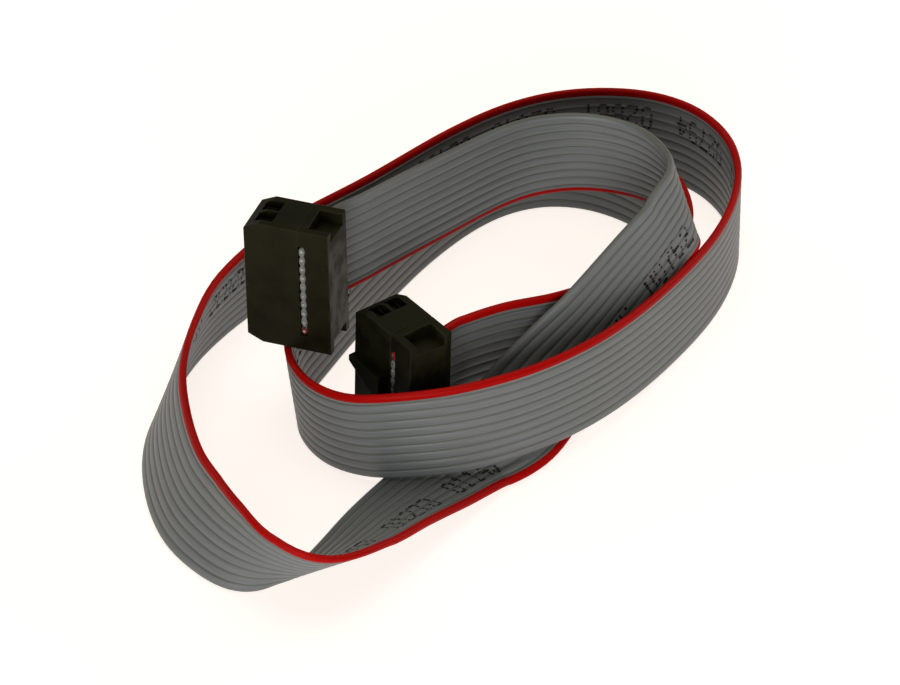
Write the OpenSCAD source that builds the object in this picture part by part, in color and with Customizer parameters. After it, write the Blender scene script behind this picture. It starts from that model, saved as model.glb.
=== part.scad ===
// Ten-way flat ribbon cable with a two-row socket crimped on each end.
// It lies on a flat surface as a loose spiral of two and a half turns.
// The origin is on that surface, under the middle of the whole outline.
// A socket is drawn with X along the cable, Y towards its cover and Z along
// its row of contacts, wire 1 (the red edge of the ribbon) being at +Z.

/* [Ribbon] */
// Number of wires, two for each column of contacts
ways = 10; // [4:2:14]
// Distance between neighbouring wires
pitch = 1.27; // [1:0.01:1.6]
// Thickness over a wire
ridge_t = 0.9; // [0.7:0.01:1.1]
// Thickness between two wires
valley_t = 0.6; // [0.4:0.01:0.7]
// Side of the square that stands for a bundle of tinned copper strands
core_w = 0.34; // [0.2:0.01:0.45]
// Gap between a bundle and the plastic or the blades beside it
core_gap = 0.02; // [0.01:0.01:0.05]

/* [Socket] */
// Thickness of a socket, along the cable
socket_t = 6.1; // [5:0.1:9]
// Plastic past the last wire at each end of a socket
socket_end = 2.15; // [1.8:0.05:4]
// Depth of the body, from the mating face to the ribbon
body_h = 6.8; // [5.5:0.1:10]
// Height of the cover above the middle of the ribbon
cover_h = 3.3; // [2:0.1:5]
// Gap between the ribbon and the socket that clamps it
seat_gap = 0.02; // [0.01:0.01:0.1]
// Length of the bevel at each end of the mating face, along the depth
bevel_h = 1.9; // [0.2:0.1:2.5]
// Width of the same bevel, along the row
bevel_w = 0.9; // [0.2:0.1:1.3]

/* [Key] */
// Width of the key on the side of the body
key_w = 3.4; // [2:0.1:5]
// Width that is left of it at the mating face, on the side of wire 1
key_tip = 0.9; // [0.5:0.1:2]
// Depth at which its sloping side reaches the full width
key_slope = 4.4; // [1:0.1:5]
// Height of the key over that side
key_t = 0.9; // [0.5:0.1:1.5]
// Part of the body above the key that is left flat
key_drop = 1.1; // [0.5:0.1:3]

/* [Contacts] */
// Thickness of the contact metal
metal_t = 0.3; // [0.2:0.01:0.4]
// Width of each insulation blade
blade_w = 0.28; // [0.2:0.01:0.32]
// Height of the blades above the middle of the ribbon
blade_h = 1.1; // [0.7:0.05:1.6]
// Width of the pin that the contact takes
pin_w = 0.64; // [0.5:0.01:0.7]
// Width of each spring arm of a contact
arm_w = 0.3; // [0.2:0.01:0.35]
// Bend of each arm towards the pin that it grips
squeeze = 0.06; // [0.02:0.01:0.1]
// Flare of each arm's tip away from the pin
flare = 0.12; // [0.05:0.01:0.18]
// Height of the bend above the tip
bend_h = 1; // [0.6:0.1:1.5]
// Gap between the tip and the plastic before it
tip_gap = 0.1; // [0.05:0.05:0.3]
// Height of the slotted plastic between a cavity and the flat part of a contact
shoulder_h = 0.5; // [0.2:0.1:1]
// Gap between the flat part and the plane that the ribbon lies on
bridge_gap = 0.1; // [0.05:0.05:0.3]
// Width of the square pin hole in front of a contact
hole_w = 1; // [0.8:0.01:1.2]
// Width of the funnel round that hole, at the mating face
mouth_w = 1.5; // [1.3:0.01:1.9]
// Plastic between the mating face and the cavities
hole_l = 0.6; // [0.5:0.05:0.9]
// Width of the square cavity round a contact
cavity_w = 1.5; // [1.3:0.01:1.9]
// Depth of the far end of the same cavity, from the mating face
cavity_h = 5; // [3.5:0.1:6]
// Gap between a contact and the plastic that holds it
metal_gap = 0.03; // [0.01:0.01:0.1]

/* [Latches] */
// Width of each latch leg of the cover
leg_w = 1.3; // [0.8:0.1:1.6]
// Thickness of a leg
leg_t = 0.6; // [0.4:0.05:0.8]
// Distance of a leg from the middle of the socket's thickness
leg_x = 1.15; // [0.9:0.05:1.6]
// Length of a leg below the cover
leg_l = 4; // [2:0.1:6]
// Overhang of the hook on a leg
hook_t = 0.35; // [0.2:0.05:0.5]
// Height of that hook
hook_h = 0.5; // [0.3:0.05:0.8]
// Depth of the body's latch pockets, from the end face
pocket_t = 1; // [0.8:0.05:1.2]
// Widening of a pocket past the slot of its leg, on each side
pocket_side = 0.2; // [0.1:0.05:0.4]
// Height of those pockets
pocket_h = 2.3; // [1.5:0.1:3]
// Gap between a leg and the body round it
leg_gap = 0.05; // [0.02:0.01:0.15]
// Width of the notch in each end of the cover
notch_w = 4; // [2:0.1:5]
// Depth of that notch, from the end face
notch_t = 1.5; // [0.8:0.1:1.8]
// Plastic left under that notch, down to the body
notch_floor = 1; // [0.6:0.1:2]

/* [Hidden] */
grey_pvc = [0.45, 0.45, 0.42];
black_plastic = [0.11, 0.11, 0.12];
tinned_copper = [0.74, 0.74, 0.70];
tin = [0.74, 0.74, 0.76];

// Where the sockets are, as [centre, heading of the cable, roll of the cable].
home = [0.25, -2.48, -0.04];
socket_a = [[-16.2, -5.4, 21.5], 70, 181];
socket_b = [[-4.4, -11.9, 10.7], 218, 2];

// Middle of the ribbon from socket A to socket B, as [x, y, z, roll].
// Roll 0 stands the ribbon on edge with wire 1 up, 90 lays it down flat.
route_between = [
    [-9.6, 3.9, 21.1, 180], [-1.5, 12.0, 20.6, 178], [7.0, 19.9, 20.1, 175],
    [13.0, 22.8, 19.8, 172], [18.5, 23.1, 19.5, 170], [23.4, 21.2, 19.3, 168],
    [26.8, 17.4, 19.2, 165], [28.0, 12.8, 19.15, 164], [25.8, 9.0, 17.2, 170],
    [22.4, 5.0, 14.6, 167], [16.7, -0.8, 10.2, 161], [12.1, -5.1, 6.8, 147],
    [7.9, -9.5, 3.5, 119], [5.0, -12.0, 1.65, 99], [2.2, -14.2, 0.9, 90],
    [-2.7, -20.6, 1.5, 81], [-6.9, -26.9, 2.6, 72], [-10.9, -33.4, 3.6, 62],
    [-15.25, -38.95, 4.8, 48], [-20.0, -39.5, 5.95, 26], [-24.3, -37.25, 6.45, -3],
    [-28.0, -32.7, 6.2, -18], [-31.2, -26.7, 6.05, -24], [-33.2, -18.5, 6.0, -25],
    [-33.7, -10.0, 6.1, -22], [-32.0, -1.0, 6.25, -16], [-28.6, 8.5, 6.35, -11],
    [-21.6, 18.5, 6.4, -8], [-10.4, 28.5, 6.4, -4], [0.0, 38.5, 6.4, -1],
    [8.0, 44.4, 6.4, 0], [16.0, 47.2, 6.4, 0], [24.5, 46.8, 6.4, 0],
    [31.0, 43.0, 6.4, 0], [34.9, 36.0, 6.4, 0], [35.4, 27.0, 6.4, 0],
    [32.4, 16.5, 6.4, 0], [26.0, 4.8, 6.8, 0], [18.6, -5.8, 7.8, 0],
    [10.5, -13.3, 8.5, 0], [2.0, -17.4, 8.5, 0], [-5.5, -18.4, 8.1, 3],
    [-11.2, -17.0, 7.1, 7], [-15.7, -13.4, 6.5, 8], [-18.3, -8.0, 6.4, 7],
    [-18.2, -1.5, 6.4, 6], [-15.4, 4.8, 6.4, 4], [-9.6, 15.8, 6.4, 1],
    [-2.8, 27.2, 6.4, 0], [3.8, 35.3, 6.4, 0], [9.8, 39.1, 6.4, 0],
    [15.8, 39.4, 6.4, 0], [21.6, 36.6, 6.4, 0], [26.6, 31.1, 6.4, 0],
    [29.1, 24.2, 6.4, 0], [28.8, 17.2, 6.4, 0], [25.2, 10.5, 6.8, 0],
    [19.0, 5.5, 7.5, 0], [12.6, 1.2, 8.1, 0], [6.2, -2.4, 9.1, 0],
    [1.2, -6.3, 10.0, 1]
];

function travel(heading) = [cos(heading), sin(heading), 0];
function face_of(socket, side) =
    let (p = socket[0] + side * socket_t / 2 * travel(socket[1]))
    [p[0], p[1], p[2], socket[2]];
route = concat(
    [face_of(socket_a, -1), face_of(socket_a, 1)],
    route_between,
    [face_of(socket_b, -1), face_of(socket_b, 1)]
);
last = len(route) - 1;

// Sizes that follow from the ones above.
half_row = ways * pitch / 2;
columns = ways / 2;
half_l = half_row + socket_end;
half_t = socket_t / 2;
seat_y = -ridge_t / 2 - seat_gap;
mating_y = seat_y - body_h;
slot_w = core_w + 2 * core_gap;
blades_w = slot_w + 2 * blade_w;
cavity_y = mating_y + cavity_h;
shoulder_y = cavity_y + shoulder_h;
arm_y = mating_y + hole_l + tip_gap;
bridge_y = seat_y - bridge_gap;
leg_z = half_l - pocket_t - leg_t / 4;
pocket_top = seat_y - leg_l + hook_h + leg_gap;
over = 0.1;

// Frame of the ribbon at ring i: its place, the way it runs, its face and its width.
function unit(v) = v / norm(v);
function point(i) = [route[i][0], route[i][1], route[i][2]];
function along(i) =
    i <= 1 ? travel(socket_a[1]) :
    i >= last - 1 ? travel(socket_b[1]) :
    unit(point(i + 1) - point(i - 1));
function across(i) =
    let (t = along(i), side = unit(cross([0, 0, 1], t)), up = cross(t, side))
    cos(route[i][3]) * up + sin(route[i][3]) * side;
function on_ring(i, w, h) =
    let (z = across(i))
    home + point(i) + w * z + h * cross(z, along(i));

// Place of wire n along the row, and the side of the socket that its contact is on.
function wire_z(n) = ((ways + 1) / 2 - n) * pitch;
function column_z(n) = ((columns - 1) / 2 - floor((n - 1) / 2)) * 2 * pitch;
function row_side(n) = n % 2 == 1 ? -1 : 1;
function row_x(n) = row_side(n) * pitch;

// Section of the ribbon as [w, h]: the upper face from one edge to the other,
// with a ridge on each wire, and then the lower face on the way back.
upper_face = [for (k = [0 : 2 * ways])
    [k * pitch / 2 - half_row, (k % 2 == 1 ? ridge_t : valley_t) / 2]];
outline = concat(upper_face, [for (k = [2 * ways : -1 : 0])
    [upper_face[k][0], -upper_face[k][1]]]);
function square_at(w, s) =
    [[w - s, s], [w + s, s], [w + s, -s], [w - s, -s]];
tunnels = [for (n = [ways : -1 : 1]) each square_at(wire_z(n), slot_w / 2)];
sides = len(outline);
section = concat(outline, tunnels);
size = len(section);

function flip(f) = [f[2], f[1], f[0]];
// Two triangles for each side of a closed loop of count points, between two rings.
function wall(i, first, count, step) = [for (j = [0 : count - 1])
    let (p = i * step + first + j, q = i * step + first + (j + 1) % count)
    each [[p, p + step, q + step], [p, q + step, q]]];
// One cell of the cut end, between two valleys and round one tunnel.
function cell(k) =
    let (vl = 2 * k, r = 2 * k + 1, vr = 2 * k + 2,
         wr = sides - 3 - 2 * k, s = sides - 2 - 2 * k, wl = sides - 1 - 2 * k,
         tl = sides + 4 * k, tr = tl + 1, br = tl + 2, bl = tl + 3)
    [[vl, r, tl], [r, tr, tl], [r, vr, tr], [vr, wr, br], [vr, br, tr],
     [wr, s, br], [s, bl, br], [s, wl, bl], [wl, vl, tl], [wl, tl, bl]];
cut_end = [for (k = [0 : ways - 1]) each cell(k)];

// Slots that the blades of one socket cut through the plastic of the ribbon.
module blade_slots() {
    for (n = [1 : ways])
        translate([row_x(n), 0, wire_z(n)])
            cube([metal_t + 2 * core_gap, 2 * ridge_t, blades_w + 2 * core_gap], center = true);
}

module at_socket(socket) {
    translate(home + socket[0]) rotate([-socket[2], 0, socket[1]]) children();
}

// Grey plastic of the ribbon, with a tunnel for each wire.
module ribbon_jacket() {
    points = [for (i = [0 : last]) each [for (p = section) on_ring(i, p[0], p[1])]];
    walls = [for (i = [0 : last - 1]) each wall(i, 0, sides, size)];
    bores = [for (i = [0 : last - 1], n = [0 : ways - 1])
        each [for (f = wall(i, sides + 4 * n, 4, size)) flip(f)]];
    far_end = [for (f = cut_end) flip(f) + last * size * [1, 1, 1]];
    color(grey_pvc)
        difference() {
            polyhedron(points, concat(walls, bores, cut_end, far_end));
            at_socket(socket_a) blade_slots();
            at_socket(socket_b) blade_slots();
        }
}

// Bundle of tinned copper strands of wire n, cut off flush with the ribbon.
module conductor(n) {
    points = [for (i = [0 : last]) each
        [for (p = square_at(wire_z(n), core_w / 2)) on_ring(i, p[0], p[1])]];
    walls = [for (i = [0 : last - 1]) each wall(i, 0, 4, 4)];
    ends = [[0, 1, 2], [0, 2, 3], [4 * last + 2, 4 * last + 1, 4 * last],
            [4 * last + 3, 4 * last + 2, 4 * last]];
    color(tinned_copper) polyhedron(points, concat(walls, ends));
}

// Gives a thickness along the cable to a profile drawn as [row, depth].
module plate(t) {
    rotate([0, -90, 0]) linear_extrude(t, center = true) children();
}

// Box between two corners of a socket.
module block(from, to) {
    translate(from) cube(to - from);
}

// Puts a profile beside the line at place, turned over where side is -1.
function beside(place, side, profile) =
    let (moved = [for (p = profile) [place + side * p[0], p[1]]])
    side > 0 ? moved : [for (k = [len(moved) - 1 : -1 : 0]) moved[k]];

// Outline of one contact: a fork of two blades over a fork of two spring arms.
module contact_profile(wire, pin) {
    left = min(wire - blades_w / 2, pin - pin_w / 2 - arm_w);
    right = max(wire + blades_w / 2, pin + pin_w / 2 + arm_w);
    translate([left, shoulder_y]) square([right - left, bridge_y - shoulder_y]);
    blade = [
        [slot_w / 2, bridge_y - over], [slot_w / 2 + blade_w, bridge_y - over],
        [slot_w / 2 + blade_w, blade_h], [slot_w / 2, blade_h - blade_w]
    ];
    arm = [
        [pin_w / 2, shoulder_y + over], [pin_w / 2, cavity_y],
        [pin_w / 2 - squeeze, arm_y + bend_h], [pin_w / 2 + flare, arm_y],
        [pin_w / 2 + arm_w, arm_y], [pin_w / 2 + arm_w, shoulder_y + over]
    ];
    for (side = [-1, 1]) {
        polygon(beside(wire, side, blade));
        polygon(beside(pin, side, arm));
    }
}

module contact(socket, n) {
    color(tin)
        at_socket(socket)
            translate([row_x(n), 0, 0])
                plate(metal_t) contact_profile(wire_z(n), column_z(n));
}

// Square pin hole from its funnel in the mating face to the end of its cavity.
module pin_room() {
    half = [
        [mouth_w / 2 + over, -over], [hole_w / 2, (mouth_w - hole_w) / 2],
        [hole_w / 2, hole_l], [cavity_w / 2, hole_l], [cavity_w / 2, cavity_h]
    ];
    room = concat(half, beside(0, -1, half));
    wide = max(mouth_w, cavity_w) + 4 * over;
    intersection() {
        plate(wide) polygon(room);
        rotate([0, 90, 0]) plate(wide) polygon(room);
    }
}

// Slot in the body that holds the flat part of contact n.
module contact_slot(n) {
    wire = wire_z(n);
    pin = column_z(n);
    low = min(wire - blades_w / 2, pin - pin_w / 2 - arm_w) - metal_gap;
    high = max(wire + blades_w / 2, pin + pin_w / 2 + arm_w) + metal_gap;
    wide = metal_t / 2 + metal_gap;
    block([row_x(n) - wide, cavity_y - over, low], [row_x(n) + wide, seat_y + over, high]);
}

// Latch leg with its hook, under the cover at the +Z end.
module latch_leg() {
    foot_y = seat_y - leg_l;
    plate(leg_w)
        polygon([
            [leg_z - leg_t / 2, seat_y + over], [leg_z - leg_t / 2, foot_y],
            [leg_z + leg_t / 2, foot_y], [leg_z + leg_t / 2 + hook_t, foot_y + hook_h],
            [leg_z + leg_t / 2, foot_y + hook_h], [leg_z + leg_t / 2, seat_y + over]
        ]);
}

// Room in the body for that leg: its slot, and the pocket that its hook catches in.
module latch_room() {
    wide = leg_w / 2 + leg_gap;
    deep = leg_t / 2 + leg_gap;
    block([-wide, pocket_top - over, leg_z - deep], [wide, seat_y + over, leg_z + deep]);
    block([-wide - pocket_side, pocket_top - pocket_h, half_l - pocket_t],
          [wide + pocket_side, pocket_top, half_l + over]);
    block([-wide, pocket_top - pocket_h, leg_z - deep], [wide, pocket_top, half_l]);
}

// Repeats what is drawn at the +Z end on both sides of both ends.
module at_latches() {
    for (turn = [0, 180], side = [-1, 1])
        rotate([0, turn, 0]) translate([side * leg_x, 0, 0]) children();
}

// Body of a socket: a bevelled block with its key, open at the mating face.
module socket_body(socket) {
    bevelled = [
        [half_l - bevel_w, mating_y], [half_l, mating_y + bevel_h], [half_l, seat_y],
        [-half_l, seat_y], [-half_l, mating_y + bevel_h], [-half_l + bevel_w, mating_y]
    ];
    key = [
        [key_w / 2 - key_tip, mating_y], [key_w / 2, mating_y],
        [key_w / 2, seat_y - key_drop], [-key_w / 2, seat_y - key_drop],
        [-key_w / 2, mating_y + key_slope]
    ];
    color(black_plastic)
        at_socket(socket)
            difference() {
                union() {
                    plate(socket_t) polygon(bevelled);
                    translate([half_t + (key_t - over) / 2, 0, 0])
                        plate(key_t + over) polygon(key);
                }
                for (n = [1 : ways]) {
                    translate([row_x(n), mating_y, column_z(n)]) pin_room();
                    contact_slot(n);
                }
                at_latches() latch_room();
            }
}

// Cover of a socket: it presses the ribbon onto the blades and snaps to the body.
module socket_cover(socket) {
    channel = concat(
        [[-half_row - seat_gap, seat_y - over]],
        [for (k = [0 : 2 * ways])
            let (edge = k == 0 ? -seat_gap : k == 2 * ways ? seat_gap : 0)
            [upper_face[k][0] + edge, upper_face[k][1] + seat_gap]],
        [[half_row + seat_gap, seat_y - over]]
    );
    color(black_plastic)
        at_socket(socket)
            difference() {
                union() {
                    block([-half_t, seat_y, -half_l], [half_t, cover_h, half_l]);
                    at_latches() latch_leg();
                }
                plate(socket_t + 2 * over) polygon(channel);
                for (n = [1 : ways])
                    translate([row_x(n), 0, wire_z(n)])
                        block([-metal_t / 2 - metal_gap, 0, -blades_w / 2 - metal_gap],
                              [metal_t / 2 + metal_gap, blade_h + metal_gap, blades_w / 2 + metal_gap]);
                for (turn = [0, 180])
                    rotate([0, turn, 0])
                        block([-notch_w / 2, seat_y + notch_floor, half_l - notch_t],
                              [notch_w / 2, cover_h + over, half_l + over]);
            }
}

ribbon_jacket();
socket_body(socket_a);  // socket_a_body
socket_cover(socket_a);  // socket_a_cover
socket_body(socket_b);  // socket_b_body
socket_cover(socket_b);  // socket_b_cover
for (n = [1 : ways]) {
    conductor(n);
    contact(socket_a, n);
    contact(socket_b, n);
}
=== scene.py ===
import math
import bmesh
import bpy
import numpy as np
from mathutils import Matrix, Vector
from mathutils.geometry import delaunay_2d_cdt


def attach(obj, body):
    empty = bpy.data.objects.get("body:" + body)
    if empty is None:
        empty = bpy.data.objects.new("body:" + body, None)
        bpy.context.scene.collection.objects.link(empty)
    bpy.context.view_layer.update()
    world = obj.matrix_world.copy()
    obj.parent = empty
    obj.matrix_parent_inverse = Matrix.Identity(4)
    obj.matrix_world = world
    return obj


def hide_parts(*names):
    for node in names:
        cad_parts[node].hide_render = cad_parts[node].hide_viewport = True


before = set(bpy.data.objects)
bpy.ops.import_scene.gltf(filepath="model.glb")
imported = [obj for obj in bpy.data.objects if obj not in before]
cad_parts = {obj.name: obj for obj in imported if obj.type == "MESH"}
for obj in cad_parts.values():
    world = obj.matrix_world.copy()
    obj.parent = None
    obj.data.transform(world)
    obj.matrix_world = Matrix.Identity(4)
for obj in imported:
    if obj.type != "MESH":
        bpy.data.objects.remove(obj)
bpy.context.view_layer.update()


# ---- Camera ---------------------------------------------------------------
# A long lens looks down on the cable from the front, from about an arm's
# length away, so that both sockets and all the turns of the ribbon show.

look_at = Vector((0.00025, -0.00248, 0.00796))
looking_down = math.radians(36.5)
camera_distance = 0.68
camera_data = bpy.data.cameras.new("camera")
camera_data.sensor_width = 36
camera_data.lens = 227.1
camera = bpy.data.objects.new("camera", camera_data)
bpy.context.scene.collection.objects.link(camera)
towards_camera = Vector((0, -math.cos(looking_down), math.sin(looking_down)))
camera.location = look_at + camera_distance * towards_camera
camera.rotation_euler = (math.pi / 2 - looking_down, 0, 0)
bpy.context.scene.camera = camera


# ---- Ribbon ---------------------------------------------------------------
# Flat cable: ten stranded wires in one extrusion of soft grey PVC, with a
# red stripe along its edge at wire 1. It is cut square at both ends, where
# the sockets are pressed on, and lies in a loose double loop.

# Each row is the middle of the ribbon and its roll: at 0 it stands on edge
# with wire 1 up, at 90 it lies flat, and at 180 wire 1 is down. home shifts
# the route to where the part stands.
ribbon_route = [
    (-0.0096, 0.0039, 0.0211, 180), (-0.0015, 0.012, 0.0206, 178), (0.007, 0.0199, 0.0201, 175),
    (0.013, 0.0228, 0.0198, 172), (0.0185, 0.0231, 0.0195, 170), (0.0234, 0.0212, 0.0193, 168),
    (0.0268, 0.0174, 0.0192, 165), (0.028, 0.0128, 0.01915, 164), (0.0258, 0.009, 0.0172, 170),
    (0.0224, 0.005, 0.0146, 167), (0.0167, -0.0008, 0.0102, 161), (0.0121, -0.0051, 0.0068, 147),
    (0.0079, -0.0095, 0.0035, 119), (0.005, -0.012, 0.00165, 99), (0.0022, -0.0142, 0.0009, 90),
    (-0.0027, -0.0206, 0.0015, 81), (-0.0069, -0.0269, 0.0026, 72),
    (-0.0109, -0.0334, 0.0036, 62), (-0.01525, -0.03895, 0.0048, 48),
    (-0.02, -0.0395, 0.00595, 26), (-0.0243, -0.03725, 0.00645, -3),
    (-0.028, -0.0327, 0.0062, -18), (-0.0312, -0.0267, 0.00605, -24),
    (-0.0332, -0.0185, 0.006, -25), (-0.0337, -0.01, 0.0061, -22), (-0.032, -0.001, 0.00625, -16),
    (-0.0286, 0.0085, 0.00635, -11), (-0.0216, 0.0185, 0.0064, -8), (-0.0104, 0.0285, 0.0064, -4),
    (0.0, 0.0385, 0.0064, -1), (0.008, 0.0444, 0.0064, 0), (0.016, 0.0472, 0.0064, 0),
    (0.0245, 0.0468, 0.0064, 0), (0.031, 0.043, 0.0064, 0), (0.0349, 0.036, 0.0064, 0),
    (0.0354, 0.027, 0.0064, 0), (0.0324, 0.0165, 0.0064, 0), (0.026, 0.0048, 0.0068, 0),
    (0.0186, -0.0058, 0.0078, 0), (0.0105, -0.0133, 0.0085, 0), (0.002, -0.0174, 0.0085, 0),
    (-0.0055, -0.0184, 0.0081, 3), (-0.0112, -0.017, 0.0071, 7), (-0.0157, -0.0134, 0.0065, 8),
    (-0.0183, -0.008, 0.0064, 7), (-0.0182, -0.0015, 0.0064, 6), (-0.0154, 0.0048, 0.0064, 4),
    (-0.0096, 0.0158, 0.0064, 1), (-0.0028, 0.0272, 0.0064, 0), (0.0038, 0.0353, 0.0064, 0),
    (0.0098, 0.0391, 0.0064, 0), (0.0158, 0.0394, 0.0064, 0), (0.0216, 0.0366, 0.0064, 0),
    (0.0266, 0.0311, 0.0064, 0), (0.0291, 0.0242, 0.0064, 0), (0.0288, 0.0172, 0.0064, 0),
    (0.0252, 0.0105, 0.0068, 0), (0.019, 0.0055, 0.0075, 0), (0.0126, 0.0012, 0.0081, 0),
    (0.0062, -0.0024, 0.0091, 0), (0.0012, -0.0063, 0.01, 1),
]
home = Vector((0.00025, -0.00248, -0.00004))
socket_half = 0.00305
sockets = {
    "a": {"middle": Vector((-0.0162, -0.0054, 0.0215)) + home, "heading": 70, "roll": 181},
    "b": {"middle": Vector((-0.0044, -0.0119, 0.0107)) + home, "heading": 218, "roll": 2},
}


def cable_axes(tangent, roll):
    """Axes of a ribbon that runs along tangent: along, out of its plain face, towards wire 1."""
    left = np.cross((0, 0, 1), tangent)
    left /= np.linalg.norm(left)
    up = np.cross(tangent, left)
    turn = math.radians(roll)
    towards_wire_1 = math.cos(turn) * up + math.sin(turn) * left
    return tangent, np.cross(towards_wire_1, tangent), towards_wire_1


for socket in sockets.values():
    heading = math.radians(socket["heading"])
    socket["axes"] = cable_axes(np.array((math.cos(heading), math.sin(heading), 0)), socket["roll"])


def through_points(rows, start_axis, end_axis, steps):
    """Smooth line through rows, straight at its first and last one: points and directions."""
    first_gap = np.linalg.norm(rows[1][:3] - rows[0][:3])
    last_gap = np.linalg.norm(rows[-1][:3] - rows[-2][:3])
    before = np.append(rows[1][:3] - 2 * first_gap * start_axis, rows[1][3])
    after = np.append(rows[-2][:3] + 2 * last_gap * end_axis, rows[-2][3])
    padded = np.vstack([before, rows, after])
    line, slope = [], []
    for k in range(len(rows) - 1):
        a, b, c, d = padded[k:k + 4]
        run, bend, twist = c - a, 2 * a - 5 * b + 4 * c - d, 3 * b - a - 3 * c + d
        for t in np.arange(steps) / steps:
            line.append(b + (run * t + bend * t * t + twist * t ** 3) / 2)
            slope.append(run / 2 + bend * t + 1.5 * twist * t * t)
    line.append(rows[-1])
    slope.append(np.append(end_axis, 0))
    return np.array(line), np.array(slope)


def socket_face(socket, side):
    """Middle of the ribbon where it meets one face of a socket, with its roll."""
    place = np.array(socket["middle"]) + side * socket_half * socket["axes"][0]
    return np.append(place, socket["roll"])


steps_between_rows = 6
rings_in_socket = 3
along_a, along_b = sockets["a"]["axes"][0], sockets["b"]["axes"][0]
back_a, front_a = socket_face(sockets["a"], -1), socket_face(sockets["a"], 1)
front_b, back_b = socket_face(sockets["b"], -1), socket_face(sockets["b"], 1)
between = [(x + home.x, y + home.y, z + home.z, roll) for x, y, z, roll in ribbon_route]
line, slope = through_points(np.vstack([front_a, between, front_b]), along_a, along_b,
                             steps_between_rows)
line = np.vstack([np.linspace(back_a, front_a, rings_in_socket + 1)[:-1], line,
                  np.linspace(front_b, back_b, rings_in_socket + 1)[1:]])
slope = np.vstack([[np.append(along_a, 0)] * rings_in_socket, slope,
                   [np.append(along_b, 0)] * rings_in_socket])
ring_axes = [cable_axes(v[:3] / np.linalg.norm(v[:3]), p[3]) for p, v in zip(line, slope)]
ring_middle = line[:, :3]
ring_along, ring_face, ring_wide = (np.array([axes[k] for axes in ring_axes]) for k in range(3))
ring_length = np.append(0, np.cumsum(np.linalg.norm(np.diff(ring_middle, axis=0), axis=1)))

pitch = 1.27e-3
wires = 10
half_width = wires * pitch / 2
wire_places = [(k - (wires - 1) / 2) * pitch for k in range(wires)]
wire_sides = 6
tunnel_radius = 0.19e-3
edge_radius = 0.45e-3
round_groove, steep_groove = 0.06e-3, 0.09e-3
red_from = half_width - 0.84e-3


def half_thickness(w):
    """Half the ribbon's thickness at w from its middle: full over a wire, less between two."""
    edge_middle = half_width - edge_radius
    if abs(w) > edge_middle:
        return math.sqrt(max(0, edge_radius ** 2 - (abs(w) - edge_middle) ** 2))
    if abs(w) > wire_places[-1]:
        return edge_radius
    to_groove = 2 * abs((w / pitch) % 1 - 0.5)
    return edge_radius - round_groove * to_groove ** 2 - steep_groove * to_groove ** 4


def ribbon_outline():
    """Section of the ribbon, (w, h): over the plain face to the red edge, and back beneath."""
    over_pitch = [-0.5, -0.36, -0.2, -0.08, 0, 0.08, 0.2, 0.36]
    curl_angles = [math.radians(a) for a in (0, 30, 55, 75)]
    places = [(k + share) * pitch for k in range(-4, 5) for share in over_pitch]
    places = [w for w in places if wire_places[0] < w < wire_places[-1]]
    curl = [half_width - edge_radius * (1 - math.sin(a)) for a in curl_angles]
    places += [-w for w in curl] + curl + [wire_places[0], wire_places[-1], red_from]
    places.sort()
    upper = [(w, half_thickness(w)) for w in places]
    return [(-half_width, 0)] + upper + [(half_width, 0)] + [(w, -h) for w, h in reversed(upper)]


def tunnel_outline(w, radius):
    """Round hole for one wire, wound the same way as the ribbon's outline."""
    turns = [2 * math.pi * k / wire_sides for k in range(wire_sides)]
    return [(w - radius * math.cos(a), radius * math.sin(a)) for a in turns]


def swept(loops, press=()):
    """Carries closed section loops along the ribbon: section, vertices, and each loop's quads.
    press has a row for each ring nearest an end: how much of its width and of its thickness
    the first loop keeps there, and how much deeper its grooves are."""
    section = np.array([p for loop in loops for p in loop])
    kept = np.ones((len(ring_middle), len(section), 2))
    rim = np.arange(len(loops[0]))
    rim_w, rim_h = np.abs(section[rim]).T
    thinness = np.where(rim_w < wire_places[-1], 1 - np.minimum(1, rim_h / edge_radius), 0)
    for ring, (width, thickness, groove) in enumerate(press):
        for place in (ring, -1 - ring):
            kept[place, rim, 0] = width
            kept[place, rim, 1] = thickness - groove * thinness
    points = (ring_middle[:, None, :] + (section[:, :1] * kept[:, :, :1]) * ring_wide[:, None, :]
              + (section[:, 1:] * kept[:, :, 1:]) * ring_face[:, None, :]).reshape(-1, 3)
    points[:, 2] = np.maximum(points[:, 2], 0)  # where it lies on the floor, it is pressed flat
    size, quads, first = len(section), [], 0
    for loop in loops:
        count, walls = len(loop), []
        for ring in range(len(ring_middle) - 1):
            for k in range(count):
                p, q = ring * size + first + k, ring * size + first + (k + 1) % count
                walls.append((p, q, q + size, p + size))
        quads.append(walls)
        first += count
    return section, points, quads


def along_and_across(mesh, section):
    """Lays a UV map on a sweep: metres along the ribbon, and metres across it from its middle."""
    size = len(section)
    which = np.zeros(len(mesh.loops), int)
    mesh.loops.foreach_get("vertex_index", which)
    laid = np.column_stack([ring_length[which // size], section[which % size, 0]])
    mesh.uv_layers.new(name="lay").data.foreach_set("uv", laid.astype(np.float32).ravel())


def new_piece(name, vertices, faces, material, smooth=True):
    """A mesh object at the origin with its place in its vertices."""
    mesh = bpy.data.meshes.new(name)
    mesh.from_pydata([tuple(v) for v in vertices], [], faces)
    mesh.polygons.foreach_set("use_smooth", [smooth] * len(mesh.polygons))
    mesh.materials.append(material)
    mesh.update()
    piece = bpy.data.objects.new(name, mesh)
    bpy.context.scene.collection.objects.link(piece)
    return piece


def new_material(name, roughness, metallic=0.0):
    """Material with a Principled shader, and the node tree to build on."""
    material = bpy.data.materials.new(name)
    material.use_nodes = True
    tree = material.node_tree
    shader = tree.nodes["Principled BSDF"]
    shader.inputs["Roughness"].default_value = roughness
    shader.inputs["Metallic"].default_value = metallic
    return material, tree, shader


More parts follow.
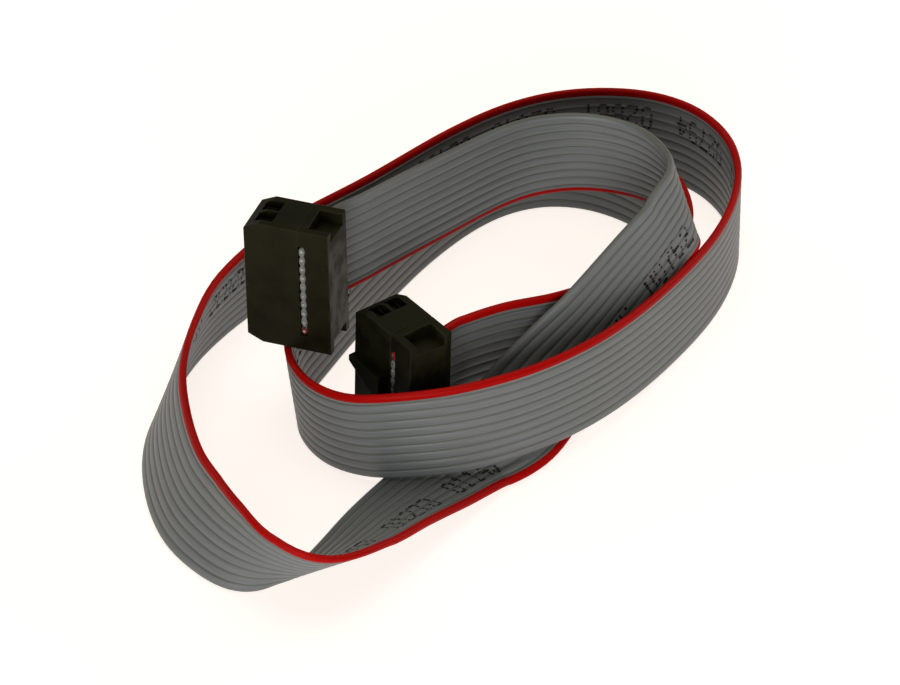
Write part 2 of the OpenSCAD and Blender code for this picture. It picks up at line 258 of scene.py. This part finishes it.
def add_node(tree, kind, settings=None, **inputs):
    """A node with its settings, each input set to a value or joined to an output.
    An input is given by its name, or as i0, i1 and so on by its number."""
    node = tree.nodes.new(kind)
    for name, value in (settings or {}).items():
        setattr(node, name, value)
    for name, value in inputs.items():
        by_number = name[0] == "i" and name[1:].isdigit()
        place = node.inputs[int(name[1:]) if by_number else name]
        if isinstance(value, bpy.types.NodeSocket):
            tree.links.new(value, place)
        else:
            place.default_value = value
    return node


def math_of(tree, operation, a, b=0.0, c=0.0, clamp=False):
    """Output of one Math node."""
    return add_node(tree, "ShaderNodeMath", {"operation": operation, "use_clamp": clamp},
                    i0=a, i1=b, i2=c).outputs[0]


def ramp_of(tree, value, low, high, to_low=0.0, to_high=1.0):
    """Value carried smoothly from the range low..high to the range to_low..to_high."""
    return add_node(tree, "ShaderNodeMapRange", {"interpolation_type": "SMOOTHSTEP"},
                    i0=value, i1=low, i2=high, i3=to_low, i4=to_high).outputs[0]


def mixed(tree, factor, one, other):
    """Colour between one and other."""
    return add_node(tree, "ShaderNodeMix", {"data_type": "RGBA"},
                    i0=factor, i6=one, i7=other).outputs[2]


def handled_group():
    """Soft blotches and fine specks of any handled plastic or metal, as masks and a height."""
    group = bpy.data.node_groups.new("handled surface", "ShaderNodeTree")
    group.interface.new_socket("Vector", in_out="INPUT", socket_type="NodeSocketVector")
    for name, way in [("Blotch scale", "INPUT"), ("Speck scale", "INPUT"),
                      ("Blotches", "OUTPUT"), ("Specks", "OUTPUT"), ("Height", "OUTPUT")]:
        group.interface.new_socket(name, in_out=way, socket_type="NodeSocketFloat")
    inside = group.nodes.new("NodeGroupInput")
    out = group.nodes.new("NodeGroupOutput")
    blotch = add_node(group, "ShaderNodeTexNoise", Vector=inside.outputs["Vector"],
                      Scale=inside.outputs["Blotch scale"], Detail=3.0, Roughness=0.55)
    speck = add_node(group, "ShaderNodeTexNoise", Vector=inside.outputs["Vector"],
                     Scale=inside.outputs["Speck scale"], Detail=2.0, Roughness=0.6)
    group.links.new(ramp_of(group, blotch.outputs[0], 0.3, 0.7), out.inputs["Blotches"])
    group.links.new(ramp_of(group, speck.outputs[0], 0.56, 0.72), out.inputs["Specks"])
    total = math_of(group, "MULTIPLY_ADD", blotch.outputs[0], 0.35, speck.outputs[0])
    group.links.new(total, out.inputs["Height"])
    return group


handled = handled_group()


def surface(tree, blotch_scale, speck_scale):
    """The handled-surface group placed in a material, on Object coordinates."""
    place = add_node(tree, "ShaderNodeTexCoord")
    return add_node(tree, "ShaderNodeGroup", {"node_tree": handled}, Vector=place.outputs["Object"],
                    **{"Blotch scale": blotch_scale, "Speck scale": speck_scale})


def bump_of(tree, shader, height, strength, distance):
    """Height as a bump on a shader."""
    bump = add_node(tree, "ShaderNodeBump", Height=height, Strength=strength, Distance=distance)
    tree.links.new(bump.outputs[0], shader.inputs["Normal"])


def ribbon_pvc(name, low, high, shade_and_dust_share, specular):
    """PVC drawn through a die, between two tones: streaks along it, painted shade with a little
    dust between the ridges.
    """
    # The first colour is painted shade for the grooves, with a little dust in it; the second is
    # dust in blotches.
    groove_shade_and_dust, dull = (0.054, 0.054, 0.026, 1), (0.10, 0.097, 0.066, 1)
    streaks_along, streaks_across = 90.0, 9000.0
    material, tree, shader = new_material(name, 0.45)
    shader.inputs["Specular IOR Level"].default_value = specular
    lay = add_node(tree, "ShaderNodeUVMap", {"uv_map": "lay"})
    parts = add_node(tree, "ShaderNodeSeparateXYZ", Vector=lay.outputs[0])
    along, across = parts.outputs[0], parts.outputs[1]
    drawn = add_node(tree, "ShaderNodeCombineXYZ",
                     X=math_of(tree, "MULTIPLY", along, streaks_along),
                     Y=math_of(tree, "MULTIPLY", across, streaks_across))
    streaks = add_node(tree, "ShaderNodeTexNoise", Vector=drawn.outputs[0], Scale=1.0, Detail=3.0)
    marks = surface(tree, 90.0, 2600.0)
    cell = math_of(tree, "FRACT", math_of(tree, "MULTIPLY", across, 1 / pitch))
    from_ridge = math_of(tree, "ABSOLUTE", math_of(tree, "SUBTRACT", cell, 0.5))
    valley = ramp_of(tree, from_ridge, 0.30, 0.5)
    colour = mixed(tree, ramp_of(tree, streaks.outputs[0], 0.32, 0.68), low, high)
    # Painted shade with a little dust: the colour darkens and turns olive towards each groove
    # between the wires.
    colour = mixed(tree, math_of(tree, "MULTIPLY", valley, shade_and_dust_share), colour, groove_shade_and_dust)
    dulled = math_of(tree, "MULTIPLY", marks.outputs["Blotches"], 0.25 * shade_and_dust_share)
    colour = mixed(tree, dulled, colour, dull)
    tree.links.new(colour, shader.inputs["Base Color"])
    rough = math_of(tree, "MULTIPLY_ADD", streaks.outputs[0], 0.18, 0.36)
    rough = math_of(tree, "MULTIPLY_ADD", marks.outputs["Specks"], 0.10, rough)
    tree.links.new(rough, shader.inputs["Roughness"])
    height = math_of(tree, "MULTIPLY_ADD", marks.outputs["Height"], 0.3, streaks.outputs[0])
    bump_of(tree, shader, height, 0.35, 0.00002)
    return material


def cut_pvc():
    """The same PVC where a blade has cut it: dull and finely torn, and red round wire 1."""
    red_cut_from = half_width - 1.24e-3
    material, tree, shader = new_material("cut_pvc", 0.7)
    shader.inputs["Specular IOR Level"].default_value = 0.2
    lay = add_node(tree, "ShaderNodeUVMap", {"uv_map": "lay"})
    across = add_node(tree, "ShaderNodeSeparateXYZ", Vector=lay.outputs[0]).outputs[1]
    marks = surface(tree, 1500.0, 9000.0)
    grey = mixed(tree, marks.outputs["Blotches"], (0.15, 0.155, 0.14, 1), (0.225, 0.23, 0.205, 1))
    red = mixed(tree, marks.outputs["Blotches"], (0.075, 0.013, 0.010, 1), (0.12, 0.020, 0.016, 1))
    stripe = ramp_of(tree, across, red_cut_from - 0.02e-3, red_cut_from + 0.02e-3)
    tree.links.new(mixed(tree, stripe, grey, red), shader.inputs["Base Color"])
    bump_of(tree, shader, marks.outputs["Height"], 0.5, 0.00002)
    return material


# The covers press the ends flatter and narrower, and the cuts show its ten lobes.
pressed_flat = [(0.972, 0.72, 1.1), (0.972, 0.72, 1.1), (0.99, 0.9, 0.3)]
loops = [ribbon_outline()] + [tunnel_outline(w, tunnel_radius) for w in wire_places]
ribbon_section, ribbon_points, ribbon_walls = swept(loops, pressed_flat)
starts = [sum(len(loop) for loop in loops[:k]) for k in range(len(loops))]
rims = [(start + k, start + (k + 1) % len(loop))
        for start, loop in zip(starts, loops) for k in range(len(loop))]
in_millimetres = [Vector(p) * 1000 for p in ribbon_section]
triangles = delaunay_2d_cdt(in_millimetres, rims, [], 0, 1e-6)[2]


def in_plastic(triangle):
    """True where a triangle of the cut end lies in the plastic, and not in a tunnel or outside."""
    w, h = sum((ribbon_section[k] for k in triangle)) / 3
    in_tunnel = any(math.hypot(w - place, h) < 0.9 * tunnel_radius for place in wire_places)
    return abs(h) < half_thickness(w) and not in_tunnel


cut_end = []
for triangle in triangles:
    if in_plastic(triangle):
        one, two, three = (ribbon_section[k] for k in triangle)
        counterclockwise = np.cross(two - one, three - one) > 0
        cut_end.append(tuple(triangle) if counterclockwise else tuple(reversed(triangle)))
far_end = len(ribbon_section) * (len(ring_middle) - 1)
ribbon_faces = ribbon_walls[0] + [tuple(reversed(q)) for wall in ribbon_walls[1:] for q in wall]
ribbon_faces += cut_end + [tuple(k + far_end for k in reversed(t)) for t in cut_end]
grey_pvc = ribbon_pvc("grey_pvc", (0.145, 0.154, 0.156, 1), (0.195, 0.205, 0.206, 1), 0.5, 0.42)
red_pvc = ribbon_pvc("red_pvc", (0.37, 0.0015, 0.001, 1), (0.46, 0.003, 0.002, 1), 0.02, 0.06)
ribbon = new_piece("ribbon", ribbon_points, ribbon_faces, grey_pvc)
along_and_across(ribbon.data, ribbon_section)
ribbon.data.materials.append(cut_pvc())
ribbon.data.materials.append(red_pvc)
cut_slot, red_slot = 1, 2
for face in ribbon.data.polygons[len(ribbon_faces) - 2 * len(cut_end):]:
    face.material_index = cut_slot
    face.use_smooth = False
for face in ribbon.data.polygons[:len(ribbon_walls[0])]:
    if min(ribbon_section[k % len(ribbon_section), 0] for k in face.vertices) > red_from - 1e-8:
        face.material_index = red_slot
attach(ribbon, "root")
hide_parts("ribbon_jacket")


# ---- Length marks ---------------------------------------------------------
# Plain running numbers are jetted in dots of black ink on one face of the
# ribbon, with their feet to the red edge. The jet misses a dot now and then.

digit_rows = {
    "0": (".###.", "#...#", "#...#", "#...#", "#...#", "#...#", ".###."),
    "1": ("..#..", ".##..", "..#..", "..#..", "..#..", "..#..", ".###."),
    "2": (".###.", "#...#", "....#", "..##.", ".#...", "#....", "#####"),
    "3": (".###.", "#...#", "....#", "..##.", "....#", "#...#", ".###."),
    "4": ("...#.", "..##.", ".#.#.", "#..#.", "#####", "...#.", "...#."),
    "5": ("#####", "#....", "####.", "....#", "....#", "#...#", ".###."),
    "6": (".###.", "#....", "#....", "####.", "#...#", "#...#", ".###."),
    "7": ("#####", "....#", "...#.", "..#..", "..#..", "..#..", "..#.."),
    "8": (".###.", "#...#", "#...#", ".###.", "#...#", "#...#", ".###."),
    "9": (".###.", "#...#", "#...#", ".####", "....#", "....#", ".###."),
}
column_step, row_step, digit_step = 0.29e-3, 0.49e-3, 1.9e-3
first_row = 1.2e-3
mark_step = 12.7e-3
tenths_a_mark = 127  # the numbers count tenths of a millimetre
bare_end = 0.006
ink_lift = 0.012e-3
missed_share = 0.06


def on_printed_face(along, across):
    """Point and outward normal of the ribbon's printed face, so far along it and across it."""
    columns = (*ring_middle.T, *ring_face.T, *ring_wide.T)
    at = np.array([np.interp(along, ring_length, column) for column in columns])
    middle, face, wide = at[:3], at[3:6], at[6:]
    step = 0.02e-3
    rise = (half_thickness(across + step) - half_thickness(across - step)) / (2 * step)
    normal = -face - rise * wide
    normal /= np.linalg.norm(normal)
    return middle + across * wide - half_thickness(across) * face + ink_lift * normal, normal


def jetted_dots():
    """Places and normals of the ink dots of every number along the ribbon."""
    jet = np.random.default_rng(12)
    places, normals = [], []
    for mark in range(1, int(ring_length[-1] / mark_step)):
        for index, digit in enumerate(f"{mark * tenths_a_mark:05d}"):
            for row, dots in enumerate(digit_rows[digit]):
                for column, dot in enumerate(dots):
                    astray_along, astray_across = jet.normal(0, 0.025e-3), jet.normal(0, 0.02e-3)
                    luck = jet.random()
                    start = mark * mark_step - index * digit_step
                    along = start - column * column_step + astray_along
                    across = first_row + row * row_step + astray_across
                    on_ribbon = bare_end < along < ring_length[-1] - bare_end
                    if dot == "#" and luck > missed_share and on_ribbon:
                        place, normal = on_printed_face(along, across)
                        places.append(place)
                        normals.append(normal)
    return places, normals


def rough_between(tree, shader, marks, low, high):
    """Roughness that goes from low to high with the blotches."""
    rough = ramp_of(tree, marks.outputs["Blotches"], 0, 1, low, high)
    tree.links.new(rough, shader.inputs["Roughness"])


def black_ink():
    """Thin black ink on PVC, a little worn away."""
    material, tree, shader = new_material("black_ink", 0.55)
    shader.inputs["Specular IOR Level"].default_value = 0.25
    marks = surface(tree, 700.0, 6000.0)
    colour = mixed(tree, marks.outputs["Specks"], (0.012, 0.011, 0.010, 1), (0.06, 0.058, 0.05, 1))
    tree.links.new(colour, shader.inputs["Base Color"])
    rough_between(tree, shader, marks, 0.45, 0.65)
    return material


def node_tree(name, inputs):
    """Geometry node tree with a geometry and the named inputs, and its two end nodes."""
    tree = bpy.data.node_groups.new(name, "GeometryNodeTree")
    tree.interface.new_socket("Geometry", in_out="INPUT", socket_type="NodeSocketGeometry")
    for label, kind in inputs:
        tree.interface.new_socket(label, in_out="INPUT", socket_type=kind)
    tree.interface.new_socket("Geometry", in_out="OUTPUT", socket_type="NodeSocketGeometry")
    return tree, tree.nodes.new("NodeGroupInput"), tree.nodes.new("NodeGroupOutput")


def turned_to_facing(tree):
    """Rotation that turns Z to the facing stored on each point."""
    facing = add_node(tree, "GeometryNodeInputNamedAttribute", {"data_type": "FLOAT_VECTOR"},
                      Name="facing")
    return add_node(tree, "FunctionNodeAlignRotationToVector", {"axis": "Z"},
                    Vector=facing.outputs[0]).outputs[0]


def made_real(tree, end, placed, material):
    """Ends a tree: what it has placed becomes plain mesh with its material."""
    real = add_node(tree, "GeometryNodeRealizeInstances", Geometry=placed.outputs[0])
    covered = add_node(tree, "GeometryNodeSetMaterial", Geometry=real.outputs[0], Material=material)
    tree.links.new(covered.outputs[0], end.inputs[0])


def dots_tree():
    """Puts a small flat disc on every point, square to its normal, in sizes that vary."""
    tree, start, end = node_tree("jetted dots", [
        ("Dot radius", "NodeSocketFloat"), ("Unevenness", "NodeSocketFloat"),
        ("Ink", "NodeSocketMaterial")])
    disc = add_node(tree, "GeometryNodeMeshCircle", {"fill_type": "NGON"},
                    Vertices=8, Radius=start.outputs["Dot radius"])
    least = math_of(tree, "SUBTRACT", 1.0, start.outputs["Unevenness"])
    most = math_of(tree, "ADD", 1.0, start.outputs["Unevenness"])
    sizes = add_node(tree, "FunctionNodeRandomValue", {"data_type": "FLOAT"},
                     i2=least, i3=most, Seed=5)
    placed = add_node(tree, "GeometryNodeInstanceOnPoints", Points=start.outputs["Geometry"],
                      Instance=disc.outputs[0], Rotation=turned_to_facing(tree),
                      Scale=sizes.outputs[1])
    made_real(tree, end, placed, start.outputs["Ink"])
    return tree


def grown(name, places, facings, tree, values):
    """Plain mesh object that a tree grows from points that each have a facing."""
    mesh = bpy.data.meshes.new(name)
    mesh.from_pydata([tuple(p) for p in places], [], [])
    facing = mesh.attributes.new("facing", "FLOAT_VECTOR", "POINT")
    facing.data.foreach_set("vector", np.array(facings, np.float32).ravel())
    seedling = bpy.data.objects.new(name + "_points", mesh)
    bpy.context.scene.collection.objects.link(seedling)
    modifier = seedling.modifiers.new(name, "NODES")
    modifier.node_group = tree
    for item in tree.interface.items_tree:
        if item.in_out == "INPUT" and item.name in values:
            modifier[item.identifier] = values[item.name]
    bpy.context.view_layer.update()
    evaluated = seedling.evaluated_get(bpy.context.evaluated_depsgraph_get())
    made = bpy.data.meshes.new_from_object(evaluated)
    made.name = name
    bpy.data.objects.remove(seedling)
    piece = bpy.data.objects.new(name, made)
    bpy.context.scene.collection.objects.link(piece)
    return piece


dot_places, dot_normals = jetted_dots()
length_marks = grown("length_marks", dot_places, dot_normals, dots_tree(),
                     {"Dot radius": 0.2e-3, "Unevenness": 0.22, "Ink": black_ink()})
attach(length_marks, "root")


# ---- Wires ----------------------------------------------------------------
# Each wire is a bundle of seven tinned copper strands that fills its tunnel
# and is cut off flush with the plastic, inside the back edge of a socket.

def specked(tree, marks, share, colour, speck):
    """Colour with fine specks of another one in it."""
    return mixed(tree, math_of(tree, "MULTIPLY", marks.outputs["Specks"], share), colour, speck)


def tinned_copper():
    """Drawn wire with a dull tin skin and copper showing through in places."""
    material, tree, shader = new_material("tinned_copper", 0.36, 1.0)
    marks = surface(tree, 900.0, 5200.0)
    colour = specked(tree, marks, 0.5, (0.55, 0.54, 0.51, 1), (0.52, 0.36, 0.26, 1))
    tree.links.new(colour, shader.inputs["Base Color"])
    rough_between(tree, shader, marks, 0.3, 0.46)
    bump_of(tree, shader, marks.outputs["Height"], 0.3, 0.00001)
    return material


def strands_tree():
    """Grows seven round strand ends, one ringed by six, on each point."""
    tree, start, end = node_tree("strand ends", [
        ("Strand radius", "NodeSocketFloat"), ("Length", "NodeSocketFloat"),
        ("Metal", "NodeSocketMaterial")])
    spacing = math_of(tree, "MULTIPLY", start.outputs["Strand radius"], 2.0)
    ring = add_node(tree, "GeometryNodeMeshCircle", {"fill_type": "NONE"},
                    Vertices=6, Radius=spacing)
    centre = add_node(tree, "GeometryNodeMeshLine", Count=1)
    seven = tree.nodes.new("GeometryNodeJoinGeometry")
    tree.links.new(ring.outputs[0], seven.inputs[0])
    tree.links.new(centre.outputs[0], seven.inputs[0])
    strand = add_node(tree, "GeometryNodeMeshCylinder", Vertices=10,
                      Radius=start.outputs["Strand radius"], Depth=start.outputs["Length"])
    longer = add_node(tree, "FunctionNodeRandomValue", {"data_type": "FLOAT"},
                      i2=0.85, i3=1.15, Seed=3)
    stretch = add_node(tree, "ShaderNodeCombineXYZ", X=1.0, Y=1.0, Z=longer.outputs[1])
    bundle = add_node(tree, "GeometryNodeInstanceOnPoints", Points=seven.outputs[0],
                      Instance=strand.outputs[0], Scale=stretch.outputs[0])
    placed = add_node(tree, "GeometryNodeInstanceOnPoints", Points=start.outputs["Geometry"],
                      Instance=bundle.outputs[0], Rotation=turned_to_facing(tree))
    made_real(tree, end, placed, start.outputs["Metal"])
    return tree


wire_metal = tinned_copper()
wire_radius = tunnel_radius * 0.94
last_ring = wire_sides * (len(ring_middle) - 1)
caps = [tuple(reversed(range(wire_sides))), tuple(last_ring + k for k in range(wire_sides))]
for number, w in enumerate(reversed(wire_places), 1):
    _, points, walls = swept([tunnel_outline(w, wire_radius)])
    wire = new_piece(f"wire_{number}", points, walls[0] + caps, wire_metal, smooth=False)
    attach(wire, "root")
    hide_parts(f"conductor_{number}")
for end_name, ring, outward in [("a", 0, -1), ("b", -1, 1)]:
    ends = [ring_middle[ring] + w * ring_wide[ring] for w in wire_places]
    facings = [outward * ring_along[ring]] * wires
    strands = grown(f"strand_ends_{end_name}", ends, facings, strands_tree(),
                    {"Strand radius": 0.062e-3, "Length": 0.09e-3, "Metal": wire_metal})
    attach(strands, "root")


# ---- Sockets --------------------------------------------------------------
# Each socket is two mouldings of black glass-filled polyester: a body round
# ten tinned bronze contacts, and a cover that snaps to it over the ribbon.
# The mould leaves a fine matt grain, and handling rubs the edges greyer.

def black_polyester():
    """Black moulding with a fine spark-eroded grain, greyer where its edges are rubbed."""
    material, tree, shader = new_material("black_polyester", 0.5)
    shader.inputs["Specular IOR Level"].default_value = 0.14
    shader.inputs["Specular Tint"].default_value = (1, 0.98, 0.45, 1)
    marks = surface(tree, 420.0, 4200.0)
    edges = add_node(tree, "ShaderNodeAttribute", {"attribute_name": "worn"})
    rubbed = ramp_of(tree, marks.outputs["Blotches"], 0.1, 0.9, 0.35, 1.0)
    rubbed = math_of(tree, "MULTIPLY", edges.outputs["Fac"], rubbed)
    black = mixed(tree, marks.outputs["Blotches"],
                  (0.0018, 0.0018, 0.0008, 1), (0.007, 0.007, 0.003, 1))
    black = specked(tree, marks, 0.4, black, (0.016, 0.016, 0.0075, 1))
    black = mixed(tree, math_of(tree, "MULTIPLY", rubbed, 0.6), black, (0.022, 0.021, 0.011, 1))
    tree.links.new(black, shader.inputs["Base Color"])
    rough = ramp_of(tree, marks.outputs["Blotches"], 0, 1, 0.46, 0.62)
    rough = math_of(tree, "MULTIPLY_ADD", rubbed, -0.12, rough)
    tree.links.new(rough, shader.inputs["Roughness"])
    bump_of(tree, shader, marks.outputs["Height"], 0.45, 0.00003)
    return material


def tinned_bronze():
    """Stamped bronze strip with a bright tin plating and faint rolling marks."""
    material, tree, shader = new_material("tinned_bronze", 0.3, 1.0)
    marks = surface(tree, 500.0, 4000.0)
    colour = mixed(tree, marks.outputs["Blotches"], (0.60, 0.59, 0.56, 1), (0.72, 0.71, 0.67, 1))
    colour = specked(tree, marks, 0.4, colour, (0.40, 0.33, 0.24, 1))
    tree.links.new(colour, shader.inputs["Base Color"])
    rough_between(tree, shader, marks, 0.22, 0.4)
    bump_of(tree, shader, marks.outputs["Height"], 0.2, 0.00001)
    return material


def moulded(node, name, material):
    """Stands for a moulding: its own shape with its long outer edges broken and masked as worn."""
    shape = bmesh.new()
    shape.from_mesh(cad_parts[node].data)
    shape.transform(Matrix.Scale(1000, 4))  # sizes are in millimetres until it is scaled back
    edge_break, long_edge, joined_within = 0.11, 1.9, 0.002
    flat_within, sharp = math.radians(0.6), math.radians(35)
    bmesh.ops.remove_doubles(shape, verts=shape.verts, dist=joined_within)
    bmesh.ops.dissolve_limit(shape, angle_limit=flat_within, verts=shape.verts, edges=shape.edges)
    outer = [e for e in shape.edges if len(e.link_faces) == 2 and e.is_convex
             and e.calc_length() > long_edge and e.calc_face_angle() > sharp]
    broken = bmesh.ops.bevel(shape, geom=outer, offset=edge_break, offset_type="OFFSET",
                             segments=2, profile=0.5, affect="EDGES", clamp_overlap=False)
    worn = shape.loops.layers.float.new("worn")
    for face in broken["faces"]:
        for corner in face.loops:
            corner[worn] = 1.0
    bmesh.ops.triangulate(shape, faces=[f for f in shape.faces if len(f.verts) > 4])
    shape.transform(Matrix.Scale(0.001, 4))
    mesh = bpy.data.meshes.new(name)
    shape.to_mesh(mesh)
    shape.free()
    mesh.materials.append(material)
    piece = bpy.data.objects.new(name, mesh)
    bpy.context.scene.collection.objects.link(piece)
    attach(piece, "root")
    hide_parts(node)
    return piece


polyester, bronze = black_polyester(), tinned_bronze()
for letter in sockets:
    moulded(f"socket_{letter}_body", f"moulded_body_{letter}", polyester)
    moulded(f"socket_{letter}_cover", f"moulded_cover_{letter}", polyester)
    for number in range(1, wires + 1):
        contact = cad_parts[f"socket_{letter}_contact_{number}"]
        contact.data.materials.clear()
        contact.data.materials.append(bronze)


# ---- Floor, light and background ------------------------------------------
# The cable lies on plain white paper under large soft lamps: a neutral one
# in front, and warm ones above and behind. Seen directly or in gloss, the
# paper is half evened out, so it is white but for a faint warm shadow.

def white_paper():
    """White paper, half of it an even light for the camera and in gloss. The two halves add
    up to white where the lamps reach the paper."""
    material, tree, shader = new_material("white_paper", 0.9)
    marks = surface(tree, 6.0, 900.0)
    colour = mixed(tree, marks.outputs["Blotches"], (0.92, 0.91, 0.92, 1), (0.94, 0.93, 0.94, 1))
    tree.links.new(colour, shader.inputs["Base Color"])
    rays = add_node(tree, "ShaderNodeLightPath")
    seen = math_of(tree, "ADD", rays.outputs["Is Camera Ray"], rays.outputs["Is Glossy Ray"])
    seen = math_of(tree, "ADD", seen, rays.outputs["Is Transmission Ray"], clamp=True)
    evened = add_node(tree, "ShaderNodeEmission", Color=(1, 0.915, 0.855, 1), Strength=1.72)
    both = add_node(tree, "ShaderNodeMixShader", i0=math_of(tree, "MULTIPLY", seen, 0.5),
                    i1=shader.outputs[0], i2=evened.outputs[0])
    tree.links.new(both.outputs[0], tree.nodes["Material Output"].inputs["Surface"])
    return material


corners = [(-3, -3, 0), (3, -3, 0), (3, 3, 0), (-3, 3, 0)]
floor = new_piece("floor", corners, [(0, 1, 2, 3)], white_paper(), smooth=False)

neutral, warm = (1, 1, 1), (1, 0.965, 0.87)
for name, place, size, power, tint in [
        ("key", (-0.04, -0.82, 0.2), 0.45, 4.7, neutral),
        ("top", (0.0, 0.0, 0.85), 0.5, 1.8, warm),
        ("left back", (-0.56, 0.47, 0.42), 0.5, 1.0, warm),
        ("right back", (0.56, 0.47, 0.42), 0.5, 1.6, warm),
        ("back", (0.0, 0.49, 0.7), 0.5, 0.8, warm)]:
    lamp_data = bpy.data.lights.new(name, "AREA")
    lamp_data.energy = power
    lamp_data.size = size
    lamp_data.color = tint
    lamp = bpy.data.objects.new(name, lamp_data)
    bpy.context.scene.collection.objects.link(lamp)
    lamp.location = place
    lamp.rotation_euler = (-Vector(place)).to_track_quat("-Z", "Y").to_euler()

world = bpy.data.worlds.new("studio")
world.use_nodes = True
world.node_tree.nodes["Background"].inputs["Color"].default_value = (1, 0.95, 0.8, 1)
world.node_tree.nodes["Background"].inputs["Strength"].default_value = 0.04
bpy.context.scene.world = world
bpy.context.scene.view_settings.view_transform = "Standard"

far_socket = [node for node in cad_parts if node.startswith("socket_b_contact")]
far_socket += ["moulded_body_b", "moulded_cover_b"]
